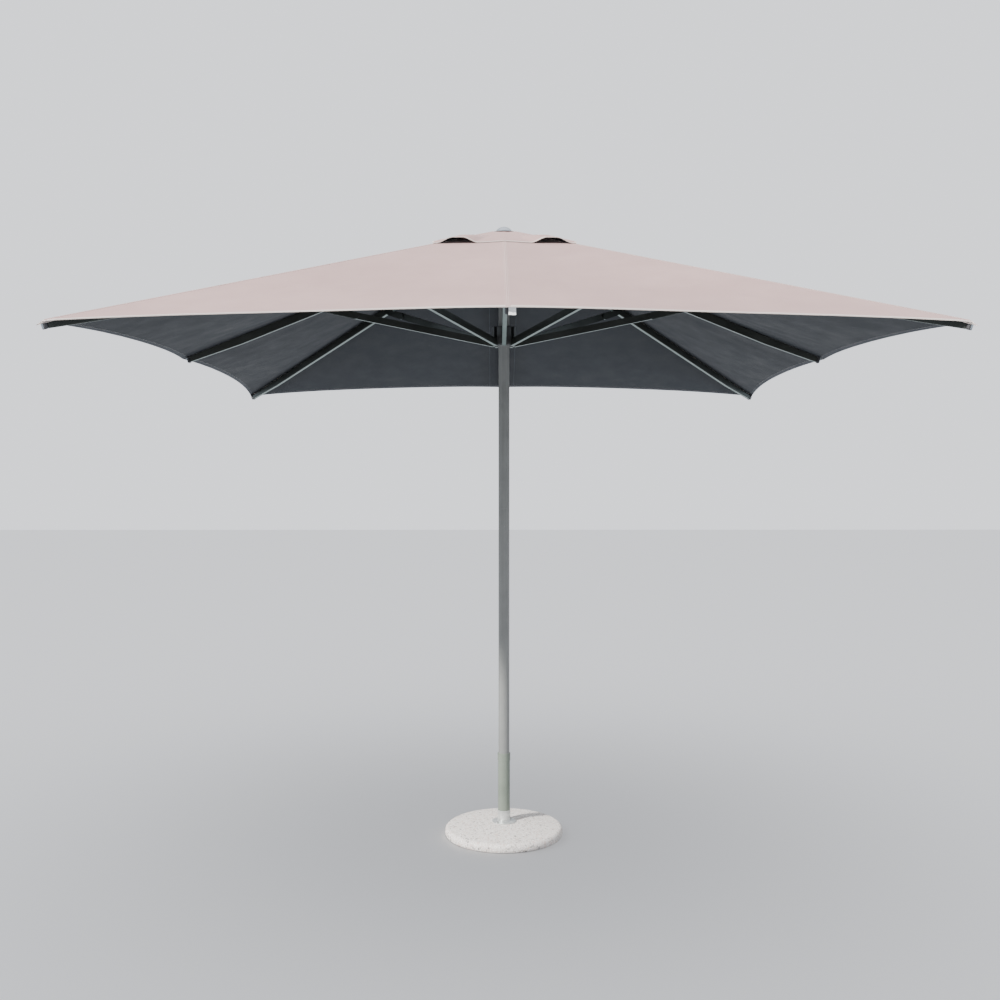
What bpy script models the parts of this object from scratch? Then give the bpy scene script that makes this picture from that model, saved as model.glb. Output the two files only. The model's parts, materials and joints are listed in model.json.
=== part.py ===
"""Square market umbrella on a round concrete base: pole, folding frame and canopy."""

from math import acos, asin, atan2, cos, pi, radians, sin, sqrt, tan

import bmesh
import bpy
from mathutils import Matrix, Vector

# canopy
HALF_SPAN = 1.500            # centre to corner, along X and along Y
MID_REACH = 1.470            # centre to the canopy's edge over a mid rib
APEX_Z = 2.767               # where the panels' planes meet on the axis
MID_TIP_Z = APEX_Z - 0.591
CORNER_TIP_Z = APEX_Z - 0.642
SCALLOP = 0.052              # how far a hem curves in between two rib tips
FABRIC = 0.002
CAP_HALF = 0.300             # half side of the vent cap
CAP_TOP = 0.010              # height of the cap's top above the panel's underside

# pole and its joint
POLE_R = 0.025
POLE_WALL = 0.002
POLE_BOTTOM_Z = 0.030
POLE_JOINT_Z = 1.490
SLEEVE_LENGTH = 0.200
SLEEVE_WALL = 0.0015
BUTTON_R = 0.0036
BUTTON_Z = POLE_JOINT_Z + 0.032
BUTTON_LENGTH = 0.0085

# frame
PIVOT_R = POLE_R + 0.025     # crown and runner pivots, from the pole's axis
RUNNER_PIVOT_Z = APEX_Z - 0.520
CLOSED_ANGLE = radians(8.0)  # ribs from the vertical when closed
RIB_WIDTH = 0.020
RIB_DEPTH = 0.035
RIB_TIP_DEPTH = 0.024
RIB_TAPER = 0.250
RIB_WALL = 0.002
RIB_UNDER_FABRIC = {"mid": 0.0025, "corner": 0.0050}  # the canopy falls off each side of a corner
PIVOT_UNDER_RIB_TOP = 0.012
RIB_START = 0.032            # from the crown pivot to the end of the rib's tube
TONGUE_WIDTH = 0.009
TONGUE_R = 0.007
END_CAP_LENGTH = 0.014
END_CAP_PROUD = 0.001
TIP_LIP = 0.020              # fabric beyond the rib's end cap
STRUT_WIDTH = 0.018
STRUT_DEPTH = 0.030
STRUT_WALL = 0.002
FORK_WALL = 0.0035
FORK_PROUD = 0.001
FORK_TIP_R = 0.0115          # round the rivet, under the fabric
FORK_ROOT = 0.014
MID_STRUT_SLACK = 0.036      # extra slot length where the mid struts' linkage is open
RIVET_R = 0.004
RIVET_PROUD = 0.002
HINGE_PIN_R = 0.0025

# runner and crown hub
RUNNER_R = PIVOT_R + 0.0055
RUNNER_TOP_Z = RUNNER_PIVOT_Z + 0.075
RUNNER_BELOW_PIVOT = 0.010
RUNNER_SLEEVE_R = POLE_R + 0.005
CATCH_R = 0.005
CATCH_KNOB_R = 0.008
CATCH_KNOB_LENGTH = 0.010
CATCH_UNDER_TOP = 0.026
CATCH_TRAVEL_GAP = 0.0005
HUB_R = PIVOT_R + 0.0055
HUB_THICKNESS = 0.0275
HUB_COLLAR_R = POLE_R + 0.004
HUB_COLLAR = 0.026
HUB_TOP_Z = APEX_Z - 0.0235

# finial
FINIAL_R = 0.069
FINIAL_THICKNESS = 0.006
DOME_R = 0.039
DOME_HEIGHT = 0.031
STUD_R = 0.004
STUD_LENGTH = 0.024            # above its plug, which fills the pole's top
PLUG_LENGTH = 0.022

# base
DISC_R = 0.270
DISC_HEIGHT = 0.057
DISC_FLAT_R = 0.070          # level ground for the socket's flange
DISC_SHOULDER_Z = 0.040      # the top falls to this height where the rim's rounding starts
DISC_ROUNDING = 0.022
RECESS_FLOOR_Z = 0.0175
TUBE_R = POLE_R + 0.0025
TUBE_WALL = 0.0014
TUBE_TOP_Z = 0.337
BUSH_R = TUBE_R + 0.0015
BUSH_HEIGHT = 0.034
SOCKET_WALL = 0.0014
SOCKET_TOP_Z = 0.111
FLANGE_R = 0.055
FLANGE_THICKNESS = 0.003
BOLT_CIRCLE_R = 0.043
BOLT_R = 0.003
BOLT_HEAD_R = 0.0055
BOLT_HEAD_HEIGHT = 0.004
BOLT_DEPTH = 0.018
SCREW_R = 0.004
SCREW_Z = 0.300
BOSS_R = 0.009
BOSS_LENGTH = 0.012
KNOB_R = 0.017
KNOB_LENGTH = 0.014
KNOB_GAP = 0.006

# blank care tag under the near hem
TAG_WIDTH = 0.024
TAG_HEIGHT = 0.026
TAG_THICKNESS = 0.0006
TAG_X = 0.0135               # its middle; it hangs in front of the front rib's end
TAG_FROM_HEM = 0.009

GAP = 0.0003                 # between touching pieces
FIT = 0.0004                 # radial clearance of a pin in its eye

CORNER_REACH = HALF_SPAN * sqrt(2.0)
SLOPES = {
    "mid": atan2(APEX_Z - MID_TIP_Z, MID_REACH),
    "corner": atan2(APEX_Z - CORNER_TIP_Z, CORNER_REACH),
}
REACH = {"mid": MID_REACH, "corner": CORNER_REACH}
RIB_KINDS = ["corner" if k % 2 else "mid" for k in range(8)]


COLOURS = {
    "canopy_fabric": ((0.56, 0.45, 0.44), 0.0, 0.90),
    "frame_paint": ((0.030, 0.034, 0.030), 0.3, 0.45),
    "pole_paint": ((0.17, 0.18, 0.165), 0.4, 0.40),
    "base_tube_paint": ((0.33, 0.36, 0.32), 0.2, 0.50),
    "galvanised_steel": ((0.58, 0.60, 0.58), 0.8, 0.45),
    "concrete": ((0.78, 0.74, 0.71), 0.0, 0.85),
    "black_plastic": ((0.025, 0.025, 0.027), 0.0, 0.50),
    "chrome": ((0.80, 0.80, 0.80), 1.0, 0.12),
    "zinc": ((0.60, 0.60, 0.60), 0.9, 0.35),
    "white_tag": ((0.80, 0.80, 0.78), 0.0, 0.80),
}


def clear_scene():
    for item in list(bpy.data.objects):
        bpy.data.objects.remove(item)


def make_collection(name):
    collection = bpy.data.collections.new(name)
    bpy.context.scene.collection.children.link(collection)
    return collection


def make_material(name):
    colour, metallic, roughness = COLOURS[name]
    material = bpy.data.materials.new(name)
    material.use_nodes = True
    shader = material.node_tree.nodes["Principled BSDF"]
    shader.inputs["Base Color"].default_value = (*colour, 1.0)
    shader.inputs["Metallic"].default_value = metallic
    shader.inputs["Roughness"].default_value = roughness
    material.diffuse_color = (*colour, 1.0)
    return material


# ---- shapes ----

def add_object(name, mesh, material=None, matrix=None, parent=None):
    """A part when it has a material, and otherwise a cutter or an added shape."""
    item = bpy.data.objects.new(name, mesh)
    if material:
        parts.objects.link(item)
        if not mesh.materials:
            mesh.materials.append(materials[material])
        mesh.shade_smooth()
        mesh.set_sharp_from_angle(angle=radians(35.0))
    else:
        tools.objects.link(item)
        item.hide_render = True
        item.display_type = "WIRE"
    item.matrix_world = matrix or Matrix.Identity(4)
    if parent:
        item.parent = parent
    return item


def turned_mesh(name, profile, steps):
    """Profile points (radius, height) run down the outer side. A closed ring repeats its first point."""
    mesh = bpy.data.meshes.new(name)
    closed = profile[0] == profile[-1]
    points = profile[:-1] if closed else profile
    edges = [(i, i + 1) for i in range(len(points) - 1)]
    if closed:
        edges.append((len(points) - 1, 0))
    mesh.from_pydata([(r, 0.0, z) for r, z in points], edges, [])
    return mesh, steps


def add_turned(name, profile, steps, material=None, matrix=None, parent=None):
    mesh, steps = turned_mesh(name, profile, steps)
    item = add_object(name, mesh, material, matrix, parent)
    screw = item.modifiers.new("turn", "SCREW")
    screw.steps = screw.render_steps = steps
    screw.use_merge_vertices = True
    screw.merge_threshold = 0.00001
    screw.use_smooth_shade = True
    return item


def ring(inner, outer, low, high):
    return [(outer, high), (outer, low), (inner, low), (inner, high), (outer, high)]


def rod(radius, low, high):
    return [(0.0, high), (radius, high), (radius, low), (0.0, low)]


def prism_mesh(name, outline, thickness):
    """A flat outline in XY, extruded half the thickness each way along Z."""
    curve = bpy.data.curves.new(name, "CURVE")
    curve.dimensions = "2D"
    curve.fill_mode = "BOTH"
    curve.extrude = thickness / 2.0
    spline = curve.splines.new("POLY")
    spline.points.add(len(outline) - 1)
    for point, (x, y) in zip(spline.points, outline):
        point.co = (x, y, 0.0, 1.0)
    spline.use_cyclic_u = True
    holder = bpy.data.objects.new(name, curve)
    tools.objects.link(holder)
    bpy.context.view_layer.update()
    shape = holder.evaluated_get(bpy.context.evaluated_depsgraph_get())
    mesh = bpy.data.meshes.new_from_object(shape)
    bpy.data.objects.remove(holder)
    work = bmesh.new()
    work.from_mesh(mesh)
    bmesh.ops.remove_doubles(work, verts=work.verts, dist=0.00001)
    bmesh.ops.recalc_face_normals(work, faces=work.faces)
    work.to_mesh(mesh)
    work.free()
    return mesh


def stand_up(mesh):
    """Turns an outline drawn as (along, up) from XY into the XZ plane."""
    mesh.transform(Matrix.Rotation(pi / 2.0, 4, "X"))
    return mesh


def boxes_mesh(name, boxes, matrices=None):
    mesh = bpy.data.meshes.new(name)
    work = bmesh.new()
    for place in matrices or [Matrix.Identity(4)]:
        for low, high in boxes:
            low, high = Vector(low), Vector(high)
            size = high - low
            middle = Matrix.Translation((low + high) / 2.0)
            bmesh.ops.create_cube(work, size=1.0, matrix=place @ middle @ Matrix.Diagonal((*size, 1.0)))
    work.to_mesh(mesh)
    work.free()
    return mesh


def cylinders_mesh(name, radius, spans, sides=8, matrices=None):
    """Cylinders along Y, each given as (x, z, low y, high y)."""
    mesh = bpy.data.meshes.new(name)
    work = bmesh.new()
    for place in matrices or [Matrix.Identity(4)]:
        for x, z, low, high in spans:
            middle = Matrix.Translation((x, (low + high) / 2.0, z))
            turn = Matrix.Rotation(pi / 2.0, 4, "X")
            bmesh.ops.create_cone(
                work, cap_ends=True, segments=sides, radius1=radius, radius2=radius,
                depth=high - low, matrix=place @ middle @ turn,
            )
    work.to_mesh(mesh)
    work.free()
    return mesh


def combine(item, other, operation):
    """operation is UNION or DIFFERENCE; other is a mesh in item's own axes, or an object."""
    if isinstance(other, bpy.types.Mesh):
        other = add_object(other.name, other, matrix=item.matrix_world.copy())
    step = item.modifiers.new(operation.lower(), "BOOLEAN")
    step.operation = operation
    step.solver = "EXACT"
    step.object = other
    return other


def round_edges(item, width, angle=40.0):
    bevel = item.modifiers.new("rounding", "BEVEL")
    bevel.width = width
    bevel.segments = 1
    bevel.limit_method = "ANGLE"
    bevel.angle_limit = radians(angle)


def stadium(start, end, radius, end_radius=None, steps=4):
    """A bar with round ends from start to end along X, tapered when the end's radius differs."""
    points = []
    for middle, size, way in ((end, end_radius or radius, 1.0), (start, radius, -1.0)):
        for i in range(steps + 1):
            turn = pi * i / steps
            points.append((middle + way * size * sin(turn), -way * size * cos(turn)))
    return points


def around(count, first=0.0):
    return [Matrix.Rotation(first + 2.0 * pi * k / count, 4, "Z") for k in range(count)]


# ---- linkage ----

def crown_pivot_z(kind):
    slope = SLOPES[kind]
    drop = RIB_UNDER_FABRIC[kind] + PIVOT_UNDER_RIB_TOP
    return APEX_Z - PIVOT_R * tan(slope) - drop / cos(slope)


def linkage():
    """Arm and strut lengths. The corner linkage is isosceles, so its runner moves straight down."""
    open_corner = pi / 2.0 - SLOPES["corner"]
    corner_drop = crown_pivot_z("corner") - RUNNER_PIVOT_Z
    arm = corner_drop / (2.0 * cos(open_corner))
    travel = 2.0 * arm * cos(CLOSED_ANGLE) - corner_drop
    open_mid = pi / 2.0 - SLOPES["mid"]
    drop = crown_pivot_z("mid") - RUNNER_PIVOT_Z
    closed_drop = drop + travel
    mid_arm = (closed_drop**2 - drop**2) / (
        2.0 * (closed_drop * cos(CLOSED_ANGLE) - drop * cos(open_mid))
    )
    mid_strut = sqrt(mid_arm**2 + drop**2 - 2.0 * mid_arm * drop * cos(open_mid))
    return {
        "arm": {"corner": arm, "mid": mid_arm},
        "strut": {"corner": arm, "mid": mid_strut},
        "travel": travel,
    }


def pivot_place(angle, z):
    return Matrix.Rotation(angle, 4, "Z") @ Matrix.Translation((PIVOT_R, 0.0, z))


def strut_rise(kind):
    """Slope of an open strut, up from the runner towards its rib."""
    arm = links["arm"][kind]
    across = arm * cos(SLOPES[kind])
    up = crown_pivot_z(kind) - arm * sin(SLOPES[kind]) - RUNNER_PIVOT_Z
    return atan2(up, across)


def slot_length(kind):
    """How far a strut's fork has to straddle its rib to stay clear when the frame is closed."""
    strut_closed = asin(links["arm"][kind] * sin(CLOSED_ANGLE) / links["strut"][kind])
    below = RIB_DEPTH - PIVOT_UNDER_RIB_TOP + STRUT_DEPTH / 2.0 + 0.002
    slack = MID_STRUT_SLACK if kind == "mid" else 0.0
    return below / sin(CLOSED_ANGLE + strut_closed) + slack


# ---- base ----

def make_base():
    rim = DISC_ROUNDING
    steps = 5
    slope_run = DISC_R - rim - DISC_FLAT_R
    fall = DISC_HEIGHT - DISC_SHOULDER_Z
    profile = [(0.0, DISC_HEIGHT), (DISC_FLAT_R, DISC_HEIGHT)]
    for i in range(1, steps):
        share = i / steps
        profile.append((DISC_FLAT_R + slope_run * share, DISC_SHOULDER_Z + fall * cos(pi / 2.0 * share)))
    for i in range(steps + 1):
        turn = pi / 2.0 * i / steps
        profile.append((DISC_R - rim + rim * sin(turn), DISC_SHOULDER_Z - rim + rim * cos(turn)))
    foot = DISC_SHOULDER_Z - rim - 0.004
    for i in range(1, steps):
        turn = pi / 2.0 * i / (steps - 1)
        profile.append((DISC_R - rim * 0.5 * (1.0 - cos(turn)), foot * (1.0 - sin(turn))))
    profile.append((0.0, 0.0))
    disc = add_turned("base_disc", profile, 40, "concrete")
    recess = add_turned("recess_cutter", rod(TUBE_R + GAP, RECESS_FLOOR_Z, DISC_HEIGHT + 0.01), 24)
    combine(disc, recess, "DIFFERENCE")
    bolts = around(2, pi / 4.0)
    bolt_floor = DISC_HEIGHT - BOLT_DEPTH
    for k, place in enumerate(bolts):
        hole = add_turned(
            f"bolt_hole_{k + 1}", rod(BOLT_R + GAP, bolt_floor - GAP, DISC_HEIGHT + 0.01), 12,
            matrix=place @ Matrix.Translation((BOLT_CIRCLE_R, 0.0, 0.0)),
        )
        combine(disc, hole, "DIFFERENCE")

    low = DISC_HEIGHT + GAP
    inner = TUBE_R + GAP
    outer = inner + SOCKET_WALL
    seat = low + FLANGE_THICKNESS
    socket = add_turned("base_socket", [
        (outer, SOCKET_TOP_Z), (outer, seat + 0.003), (outer + 0.003, seat), (FLANGE_R, seat),
        (FLANGE_R, low), (inner, low), (inner, SOCKET_TOP_Z), (outer, SOCKET_TOP_Z),
    ], 24, "galvanised_steel")
    for k, place in enumerate(bolts):
        spot = place @ Matrix.Translation((BOLT_CIRCLE_R, 0.0, 0.0))
        hole = add_turned(f"flange_hole_{k + 1}", rod(BOLT_R + GAP, low - 0.01, seat + 0.01), 12, matrix=spot)
        combine(socket, hole, "DIFFERENCE")
        head = seat + GAP
        add_turned(f"base_bolt_{k + 1}", [
            (0.0, head + BOLT_HEAD_HEIGHT), (BOLT_HEAD_R - 0.001, head + BOLT_HEAD_HEIGHT),
            (BOLT_HEAD_R, head + BOLT_HEAD_HEIGHT - 0.001), (BOLT_HEAD_R, head), (BOLT_R, head),
            (BOLT_R, bolt_floor), (0.0, bolt_floor),
        ], 12, "zinc", spot)

    tube = add_turned(
        "base_tube", ring(TUBE_R - TUBE_WALL, TUBE_R, RECESS_FLOOR_Z + GAP, TUBE_TOP_Z), 24, "base_tube_paint"
    )
    way = cylinders_mesh("screw_way", SCREW_R + FIT, [(0.0, SCREW_Z, 0.0, TUBE_R + 0.01)])
    combine(tube, way, "DIFFERENCE")

    boss_start = TUBE_R + GAP
    boss = add_object(
        "clamp_boss",
        cylinders_mesh("clamp_boss", BOSS_R, [(0.0, SCREW_Z, boss_start - 0.004, boss_start + BOSS_LENGTH)], 16),
        "zinc",
    )
    saddle = add_turned("boss_saddle", rod(boss_start, SCREW_Z - 0.03, SCREW_Z + 0.03), 32)
    combine(boss, saddle, "DIFFERENCE")
    bore = cylinders_mesh("boss_bore", SCREW_R + FIT, [(0.0, SCREW_Z, 0.0, boss_start + 0.05)])
    combine(boss, bore, "DIFFERENCE")

    knob_start = boss_start + BOSS_LENGTH + KNOB_GAP
    screw = add_object(
        "clamp_screw",
        cylinders_mesh("clamp_screw", SCREW_R, [(0.0, 0.0, POLE_R + GAP, knob_start + 0.004)]),
        "black_plastic", Matrix.Translation((0.0, 0.0, SCREW_Z)),
    )
    lobes = 5
    lobe = cylinders_mesh("knob", KNOB_R * 0.72, [(0.0, 0.0, knob_start, knob_start + KNOB_LENGTH)], 20)
    combine(screw, lobe, "UNION")
    for k in range(lobes):
        turn = 2.0 * pi * k / lobes
        wing = cylinders_mesh(f"knob_lobe_{k + 1}", KNOB_R * 0.36, [(
            KNOB_R * 0.64 * cos(turn), KNOB_R * 0.64 * sin(turn), knob_start + 0.001, knob_start + KNOB_LENGTH - 0.001,
        )], 10)
        combine(screw, wing, "UNION")

    bush_low = TUBE_TOP_Z + GAP
    bush_high = bush_low + BUSH_HEIGHT
    add_turned("pole_bush", [
        (BUSH_R - 0.001, bush_high), (BUSH_R, bush_high - 0.001), (BUSH_R, bush_low), (POLE_R + FIT, bush_low),
        (POLE_R + FIT, bush_high), (BUSH_R - 0.001, bush_high),
    ], 24, "base_tube_paint")


# ---- pole ----

def make_pole(holder):
    bore = POLE_R - POLE_WALL
    joint = POLE_JOINT_Z
    add_turned(
        "pole_lower", ring(bore, POLE_R, POLE_BOTTOM_Z, joint - GAP / 2.0), 24, "pole_paint", parent=holder
    )
    upper = add_turned(
        "pole_upper", ring(bore, POLE_R, joint + GAP / 2.0, HUB_TOP_Z - GAP), 24, "pole_paint", parent=holder
    )
    sleeve = add_turned(
        "pole_joint_sleeve",
        ring(bore - GAP - SLEEVE_WALL, bore - GAP, joint - SLEEVE_LENGTH / 2.0, joint + SLEEVE_LENGTH / 2.0),
        24, "zinc", parent=holder,
    )
    quarter = Matrix.Rotation(-pi / 2.0, 4, "Z")
    for item in (upper, sleeve):
        way = cylinders_mesh(
            f"{item.name}_button_way", BUTTON_R + FIT, [(0.0, BUTTON_Z, 0.005, POLE_R + 0.01)], matrices=[quarter]
        )
        combine(item, way, "DIFFERENCE")
    button = cylinders_mesh(
        "snap_button", BUTTON_R, [(0.0, 0.0, POLE_R - BUTTON_LENGTH, POLE_R)], matrices=[quarter]
    )
    add_object("snap_button", button, "zinc", Matrix.Translation((0.0, 0.0, BUTTON_Z)), holder)

    foot = POLE_BOTTOM_Z
    add_turned("pole_foot_plug", [
        (0.0, foot + 0.020), (bore - GAP - 0.001, foot + 0.020), (bore - GAP, foot - GAP),
        (POLE_R, foot - GAP), (POLE_R - 0.001, foot - 0.004), (0.0, foot - 0.004),
    ], 24, "black_plastic", parent=holder)
    top = HUB_TOP_Z - GAP
    add_turned("finial_stud", [
        (0.0, top + STUD_LENGTH), (STUD_R, top + STUD_LENGTH), (STUD_R, top), (bore - GAP, top),
        (bore - GAP, top - PLUG_LENGTH), (0.0, top - PLUG_LENGTH),
    ], 24, "zinc", parent=holder)


# ---- crown ----

def make_crown(holder):
    bottom = HUB_TOP_Z - HUB_THICKNESS
    hub = add_turned("crown_hub", [
        (HUB_R, HUB_TOP_Z), (HUB_R, bottom), (HUB_COLLAR_R, bottom), (HUB_COLLAR_R, bottom - HUB_COLLAR),
        (POLE_R + GAP, bottom - HUB_COLLAR), (POLE_R + GAP, HUB_TOP_Z), (HUB_R, HUB_TOP_Z),
    ], 32, "frame_paint", parent=holder)
    half_slot = TONGUE_WIDTH / 2.0 + FIT
    slot = ((HUB_COLLAR_R + 0.001, -half_slot, bottom - 0.01), (HUB_R + 0.01, half_slot, HUB_TOP_Z + 0.01))
    combine(hub, boxes_mesh("hub_slots", [slot], around(8)), "DIFFERENCE")
    for kind, first in (("mid", 0.0), ("corner", pi / 4.0)):
        span = (PIVOT_R, crown_pivot_z(kind), -half_slot - 0.004, half_slot + 0.004)
        pins = cylinders_mesh(f"{kind}_hub_pins", HINGE_PIN_R, [span], 8, around(4, first))
        combine(hub, pins, "UNION")

    low = HUB_TOP_Z + 0.0015
    high = low + FINIAL_THICKNESS
    stud_high = HUB_TOP_Z - GAP + STUD_LENGTH
    add_turned("finial_disc", [
        (FINIAL_R - 0.002, high), (FINIAL_R, high - 0.002), (FINIAL_R, low), (STUD_R + GAP, low),
        (STUD_R + GAP, high), (FINIAL_R - 0.002, high),
    ], 24, "black_plastic", parent=holder)
    base = high + GAP
    steps = 6
    profile = [(0.0, base + DOME_HEIGHT)]
    for i in range(1, steps + 1):
        turn = pi / 2.0 * i / steps
        profile.append((DOME_R * sin(turn), base + DOME_HEIGHT * cos(turn)))
    profile += [(STUD_R + GAP, base), (STUD_R + GAP, stud_high + GAP), (0.0, stud_high + GAP)]
    add_turned("finial_dome", profile, 32, "chrome", parent=holder)


# ---- runner ----

def make_runner():
    low = RUNNER_PIVOT_Z - RUNNER_BELOW_PIVOT
    lip = 0.003
    body = add_turned("runner", [
        (RUNNER_R - lip, RUNNER_TOP_Z), (RUNNER_R, RUNNER_TOP_Z - lip), (RUNNER_R, low + lip),
        (RUNNER_R - lip, low), (POLE_R + FIT, low), (POLE_R + FIT, RUNNER_TOP_Z), (RUNNER_R - lip, RUNNER_TOP_Z),
    ], 32, "black_plastic")
    half_slot = STRUT_WIDTH / 2.0 + FIT
    slot = ((RUNNER_SLEEVE_R, -half_slot, low - 0.01), (RUNNER_R + 0.01, half_slot, RUNNER_TOP_Z + 0.01))
    combine(body, boxes_mesh("runner_slots", [slot], around(8)), "DIFFERENCE")
    span = (PIVOT_R, RUNNER_PIVOT_Z, -half_slot - 0.0035, half_slot + 0.0035)
    combine(body, cylinders_mesh("runner_pins", HINGE_PIN_R, [span], 8, around(8)), "UNION")

    behind = Matrix.Rotation(radians(22.5), 4, "Z")
    height = RUNNER_TOP_Z - CATCH_UNDER_TOP
    bore = cylinders_mesh("catch_bore", CATCH_R + FIT, [(0.0, height, 0.01, RUNNER_R + 0.02)], 12, [behind])
    combine(body, bore, "DIFFERENCE")
    tip = POLE_R + CATCH_TRAVEL_GAP
    knob_start = RUNNER_R + CATCH_TRAVEL_GAP
    place = Matrix.Translation((0.0, 0.0, height))
    catch = add_object(
        "runner_catch", cylinders_mesh("runner_catch", CATCH_R, [(0.0, 0.0, tip, knob_start + 0.004)], 12, [behind]),
        "chrome", place,
    )
    knob = cylinders_mesh(
        "catch_knob", CATCH_KNOB_R, [(0.0, 0.0, knob_start, knob_start + CATCH_KNOB_LENGTH)], 16, [behind]
    )
    combine(catch, knob, "UNION")


# ---- ribs and struts ----

def rib_length(kind):
    """From the crown pivot to the outer end of the rib's tube."""
    slope = SLOPES[kind]
    return (REACH[kind] - TIP_LIP - PIVOT_R) / cos(slope) - END_CAP_LENGTH - GAP


def make_rib(name, kind, angle):
    length = rib_length(kind)
    top = PIVOT_UNDER_RIB_TOP
    outline = [
        (RIB_START, top), (RIB_START, top - RIB_DEPTH), (length - RIB_TAPER, top - RIB_DEPTH),
        (length, top - RIB_TIP_DEPTH), (length, top),
    ]
    place = pivot_place(angle, crown_pivot_z(kind)) @ Matrix.Rotation(SLOPES[kind], 4, "Y")
    rib = add_object(name, stand_up(prism_mesh(name, outline, RIB_WIDTH)), "frame_paint", place)
    round_edges(rib, 0.0025)
    hollow = boxes_mesh(f"{name}_hollow", [(
        (RIB_START + 0.030, RIB_WALL - RIB_WIDTH / 2.0, top - RIB_TIP_DEPTH + RIB_WALL),
        (length + 0.01, RIB_WIDTH / 2.0 - RIB_WALL, top - RIB_WALL),
    )])
    combine(rib, hollow, "DIFFERENCE")
    tongue = stand_up(prism_mesh(f"{name}_tongue", stadium(0.0, RIB_START + 0.010, TONGUE_R), TONGUE_WIDTH))
    combine(rib, tongue, "UNION")
    eyes = cylinders_mesh(f"{name}_eye", HINGE_PIN_R + FIT, [(0.0, 0.0, -0.02, 0.02)])
    combine(rib, eyes, "DIFFERENCE")
    rivet_hole = cylinders_mesh(f"{name}_rivet_hole", RIVET_R + FIT, [(links["arm"][kind], 0.0, -0.02, 0.02)])
    combine(rib, rivet_hole, "DIFFERENCE")

    cap_start = length + GAP
    proud = END_CAP_PROUD
    cap = add_object(f"{name}_end_cap", boxes_mesh(f"{name}_end_cap", [(
        (cap_start, -RIB_WIDTH / 2.0 - proud, top - RIB_TIP_DEPTH - proud),
        (cap_start + END_CAP_LENGTH, RIB_WIDTH / 2.0 + proud, top + proud),
    )]), "black_plastic", place)
    round_edges(cap, 0.003)
    loose = RIB_WALL + GAP
    plug = boxes_mesh(f"{name}_plug", [(
        (cap_start - 0.012, loose - RIB_WIDTH / 2.0, top - RIB_TIP_DEPTH + loose),
        (cap_start + 0.004, RIB_WIDTH / 2.0 - loose, top - loose),
    )])
    combine(cap, plug, "UNION")


def make_strut(name, kind, angle):
    length = links["strut"][kind]
    slot = slot_length(kind)
    place = pivot_place(angle, RUNNER_PIVOT_Z) @ Matrix.Rotation(-strut_rise(kind), 4, "Y")
    half = STRUT_DEPTH / 2.0
    strut = add_object(
        name, stand_up(prism_mesh(name, stadium(0.0, length - slot / 2.0, half), STRUT_WIDTH)), "frame_paint", place
    )
    inner = RIB_WIDTH / 2.0 + 0.0005
    outer = inner + FORK_WALL
    fork_outline = stadium(length - slot - FORK_ROOT + half, length, half + FORK_PROUD, FORK_TIP_R)
    fork = stand_up(prism_mesh(f"{name}_fork", fork_outline, 2.0 * outer))
    combine(strut, fork, "UNION")
    rivet = cylinders_mesh(
        f"{name}_rivet", RIVET_R, [(length, 0.0, -outer - RIVET_PROUD, outer + RIVET_PROUD)]
    )
    opening = boxes_mesh(f"{name}_slot", [((length - slot, -inner, -0.03), (length + 0.03, inner, 0.03))])
    if kind == "corner":
        combine(strut, opening, "DIFFERENCE")
        combine(strut, rivet, "UNION")
    else:
        combine(strut, rivet, "UNION")
        combine(strut, opening, "DIFFERENCE")
    hollow = boxes_mesh(f"{name}_hollow", [(
        (0.030, STRUT_WALL - STRUT_WIDTH / 2.0, STRUT_WALL - half),
        (length - slot + 0.005, STRUT_WIDTH / 2.0 - STRUT_WALL, half - STRUT_WALL),
    )])
    combine(strut, hollow, "DIFFERENCE")
    eye = cylinders_mesh(f"{name}_eye", HINGE_PIN_R + FIT, [(0.0, 0.0, -0.02, 0.02)])
    combine(strut, eye, "DIFFERENCE")


# ---- canopy ----

def panel_axes(kind, angle, side):
    """Frame of a half panel: X along its rib's seam, Y towards the panel's middle, both in its plane."""
    tips = {}
    for k in ("mid", "corner"):
        low = {"mid": MID_TIP_Z, "corner": CORNER_TIP_Z}[k]
        turn = 0.0 if k == kind else side * pi / 4.0
        tips[k] = Vector((REACH[k] * cos(turn), REACH[k] * sin(turn), low - APEX_Z))
    other = "corner" if kind == "mid" else "mid"
    along = tips[kind].normalized()
    normal = along.cross(tips[other]).normalized() * side
    across = normal.cross(along)
    place = Matrix.Rotation(angle, 4, "Z") @ Matrix.Translation((0.0, 0.0, APEX_Z))
    basis = Matrix((along, across, normal)).transposed().to_4x4()
    spread = acos(tips["mid"].normalized().dot(tips["corner"].normalized()))
    return place @ basis, tips[kind].length, tips[other].length, spread


def half_panel_outline(own, other, spread, inner, side, inset, scallop):
    """From the seam to the fold line, which halves the panel's angle at the apex."""
    far = Vector((other * cos(spread), other * sin(spread)))
    near = Vector((own, 0.0))
    chord = far - near
    inward = Vector((-chord.y, chord.x)).normalized()

    def hem(t):
        return near + chord * t + inward * (4.0 * scallop * t * (1.0 - t))

    low, high = 0.0, 1.0
    for _ in range(40):
        t = (low + high) / 2.0
        point = hem(t)
        if atan2(point.y, point.x) < spread / 2.0:
            low = t
        else:
            high = t
    steps = 6 if scallop else 1
    points = [hem(low * i / steps) for i in range(steps + 1)]
    fold = Vector((cos(spread / 2.0), sin(spread / 2.0)))
    aside = Vector((fold.y, -fold.x)) * inset
    points[0].y = inset
    points[-1] += aside
    points.append(fold * inner + aside)
    points.append(Vector((inner * cos(inset / inner), inset)))
    points = [(p.x, p.y * side) for p in points]
    return points if side > 0 else points[::-1]


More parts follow.
